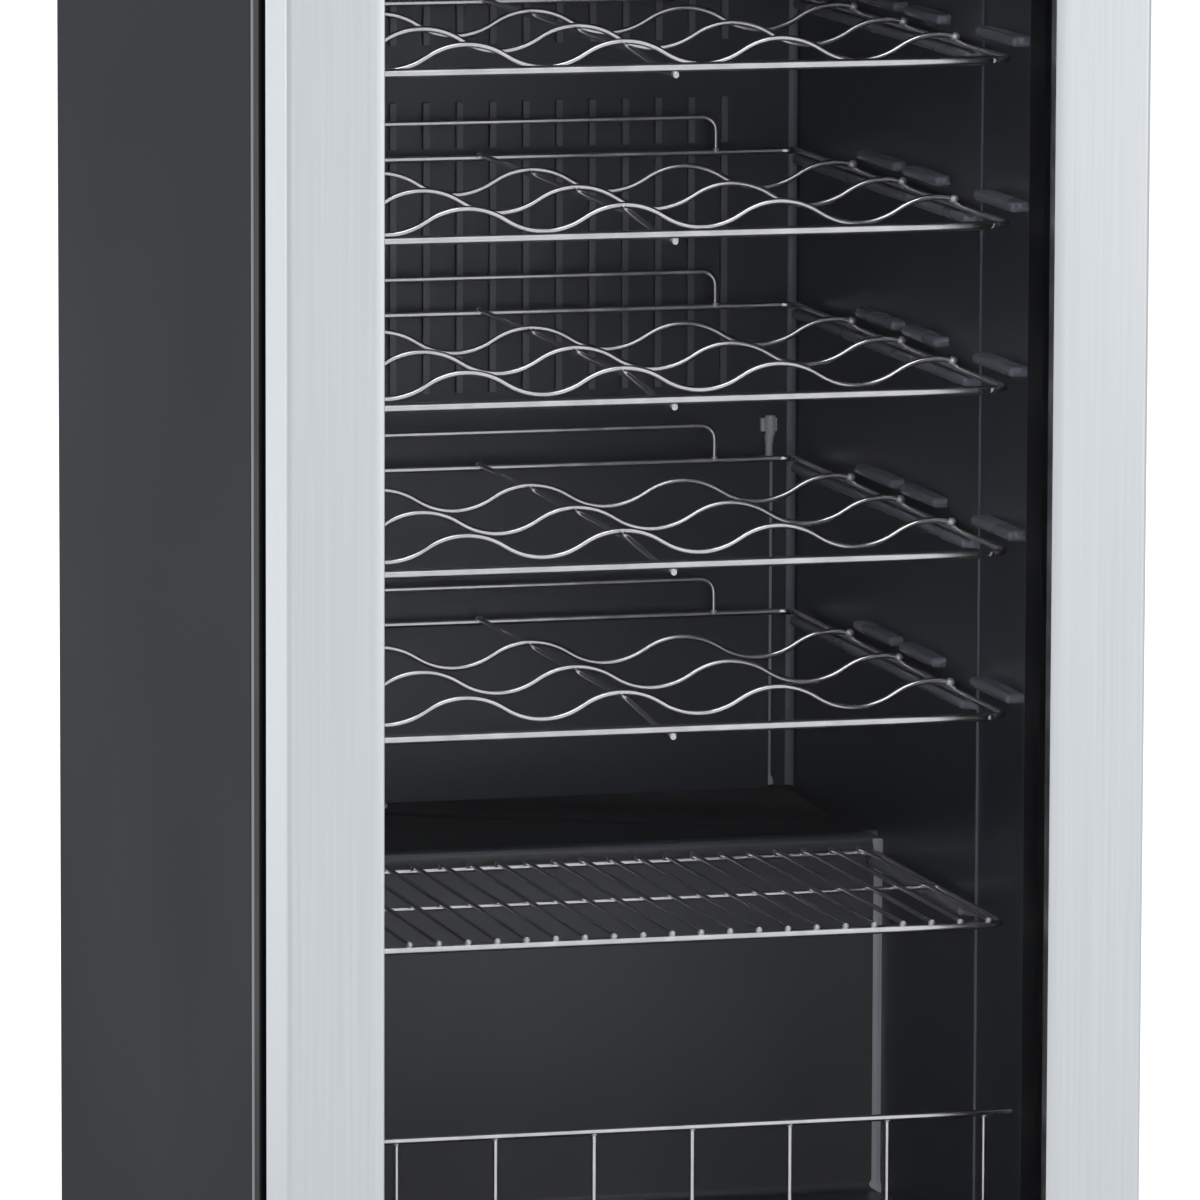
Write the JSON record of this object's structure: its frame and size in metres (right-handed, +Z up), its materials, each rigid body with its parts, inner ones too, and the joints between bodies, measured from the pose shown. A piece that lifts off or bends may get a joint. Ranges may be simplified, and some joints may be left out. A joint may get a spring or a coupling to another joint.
{
  "type": "wine cooler",
  "caption": "Upright freestanding wine cooler: dark insulated cabinet, hinged glass door in a brushed steel frame, sliding wavy wire racks, flat wire shelf and bottle fence.",
  "frame": {"origin": "centre of the footprint on the floor, at the underside of the feet", "axes": "+Z up along the height, -Y out of the door's front, +X to the right of someone facing the door"},
  "size_m": [0.5, 0.6, 1.2],
  "materials": {
    "cabinet_paint": "satin",
    "galvanised": "satin",
    "trim_grey": "satin",
    "liner_black": "gloss",
    "panel_gloss": "gloss",
    "foam": "matte",
    "matte_black": "matte",
    "stainless": "satin",
    "glass": "polished",
    "spacer_metal": "satin",
    "gasket_rubber": "matte",
    "chrome_wire": "polished",
    "compressor_black": "satin",
    "copper": "satin",
    "white_plastic": "satin",
    "circuit_green": "satin",
    "screw_steel": "satin",
    "button_plastic": "satin"
  },
  "bodies": {
    "cabinet": {"outer_cabinet": "cabinet_paint", "back_panel": "galvanised", "base_plate": "galvanised", "front_trim": "trim_grey", "inner_liner": "liner_black", "insulation_foam": "foam", "compressor_bulkhead": "cabinet_paint", "wall_spacers": "matte_black", "rear_feet": "matte_black", "top_hinge_bracket": "cabinet_paint", "bottom_hinge_bracket": "cabinet_paint", "screws": "screw_steel", "hinge_cover": "matte_black", "bottle_fence": "chrome_wire", "air_duct_cover": "liner_black", "fan_housing": "liner_black", "fan_motor": "screw_steel", "evaporator": "spacer_metal", "temperature_sensor": "white_plastic", "control_housing": "liner_black", "control_panel": "panel_gloss", "display_window": "panel_gloss", "circuit_boards": "circuit_green", "light_lens": "white_plastic", "compressor": "compressor_black", "compressor_grommets": "gasket_rubber", "terminal_box": "matte_black", "evaporation_tray": "matte_black", "drain_tube": "white_plastic", "filter_drier": "copper", "capillary_tube": "copper", "suction_line": "copper", "discharge_line": "copper", "condenser_coil": "compressor_black", "condenser_wires": "compressor_black", "condenser_brackets": "matte_black", "cord_gland": "matte_black"},
    "door": {"door_frame": "stainless", "door_inner_frame": "matte_black", "outer_glass": "glass", "inner_glass": "glass", "glass_spacer": "spacer_metal", "door_gasket": "gasket_rubber", "door_grip": "matte_black", "hinge_bushes": "white_plastic"},
    "shelf": {"flat_shelf": "chrome_wire"},
    "fan": {"fan_impeller": "matte_black"},
    "left_foot": {"front_foot_left": "matte_black"},
    "right_foot": {"front_foot_right": "matte_black"},
    "rack_1": {"wine_rack_1": "chrome_wire"},
    "rack_2": {"wine_rack_2": "chrome_wire"},
    "rack_3": {"wine_rack_3": "chrome_wire"},
    "rack_4": {"wine_rack_4": "chrome_wire"},
    "rack_5": {"wine_rack_5": "chrome_wire"},
    "rack_6": {"wine_rack_6": "chrome_wire"},
    "rack_7": {"wine_rack_7": "chrome_wire"},
    "button_1": {"button_1": "button_plastic"},
    "button_2": {"button_2": "button_plastic"},
    "button_3": {"button_3": "button_plastic"},
    "button_4": {"button_4": "button_plastic"}
  },
  "joints": [
    {"name": "door_hinge", "type": "hinge", "parent": "cabinet", "child": "door", "pos_m": [0.238, -0.262, 0.6], "axis": [0, 0, 1], "range_deg": [0, 120]},
    {"name": "rack_1_slide", "type": "slide", "parent": "cabinet", "child": "rack_1", "axis": [0, -1, 0], "range_m": [0, 0.12]},
    {"name": "rack_2_slide", "type": "slide", "parent": "cabinet", "child": "rack_2", "axis": [0, -1, 0], "range_m": [0, 0.12]},
    {"name": "rack_3_slide", "type": "slide", "parent": "cabinet", "child": "rack_3", "axis": [0, -1, 0], "range_m": [0, 0.12]},
    {"name": "rack_4_slide", "type": "slide", "parent": "cabinet", "child": "rack_4", "axis": [0, -1, 0], "range_m": [0, 0.12]},
    {"name": "rack_5_slide", "type": "slide", "parent": "cabinet", "child": "rack_5", "axis": [0, -1, 0], "range_m": [0, 0.12]},
    {"name": "rack_6_slide", "type": "slide", "parent": "cabinet", "child": "rack_6", "axis": [0, -1, 0], "range_m": [0, 0.12]},
    {"name": "rack_7_slide", "type": "slide", "parent": "cabinet", "child": "rack_7", "axis": [0, -1, 0], "range_m": [0, 0.12]},
    {"name": "shelf_slide", "type": "slide", "parent": "cabinet", "child": "shelf", "axis": [0, -1, 0], "range_m": [0, 0.12]},
    {"name": "fan_spin", "type": "hinge", "parent": "cabinet", "child": "fan", "pos_m": [0, 0.235, 1.066], "axis": [0, 1, 0], "continuous": true},
    {"name": "button_1_press", "type": "slide", "parent": "cabinet", "child": "button_1", "axis": [0, 1, 0], "range_m": [0, 0.0012], "stiffness_N_per_m": 400},
    {"name": "button_2_press", "type": "slide", "parent": "cabinet", "child": "button_2", "axis": [0, 1, 0], "range_m": [0, 0.0012], "stiffness_N_per_m": 400},
    {"name": "button_3_press", "type": "slide", "parent": "cabinet", "child": "button_3", "axis": [0, 1, 0], "range_m": [0, 0.0012], "stiffness_N_per_m": 400},
    {"name": "button_4_press", "type": "slide", "parent": "cabinet", "child": "button_4", "axis": [0, 1, 0], "range_m": [0, 0.0012], "stiffness_N_per_m": 400},
    {"name": "left_foot_turn", "type": "hinge", "parent": "cabinet", "child": "left_foot", "pos_m": [-0.205, -0.18, 0.01], "axis": [0, 0, 1], "range_deg": [-360, 360]},
    {"name": "right_foot_turn", "type": "hinge", "parent": "cabinet", "child": "right_foot", "pos_m": [0.205, -0.18, 0.01], "axis": [0, 0, 1], "range_deg": [-360, 360]}
  ],
  "couplings": [
    {"joint": "rack_1_slide", "follows": "door_hinge", "m_per_rad": 0.057},
    {"joint": "rack_2_slide", "follows": "door_hinge", "m_per_rad": 0.057},
    {"joint": "rack_3_slide", "follows": "door_hinge", "m_per_rad": 0.057},
    {"joint": "rack_4_slide", "follows": "door_hinge", "m_per_rad": 0.057},
    {"joint": "rack_5_slide", "follows": "door_hinge", "m_per_rad": 0.057},
    {"joint": "rack_6_slide", "follows": "door_hinge", "m_per_rad": 0.057},
    {"joint": "rack_7_slide", "follows": "door_hinge", "m_per_rad": 0.057},
    {"joint": "shelf_slide", "follows": "door_hinge", "m_per_rad": 0.057}
  ]
}
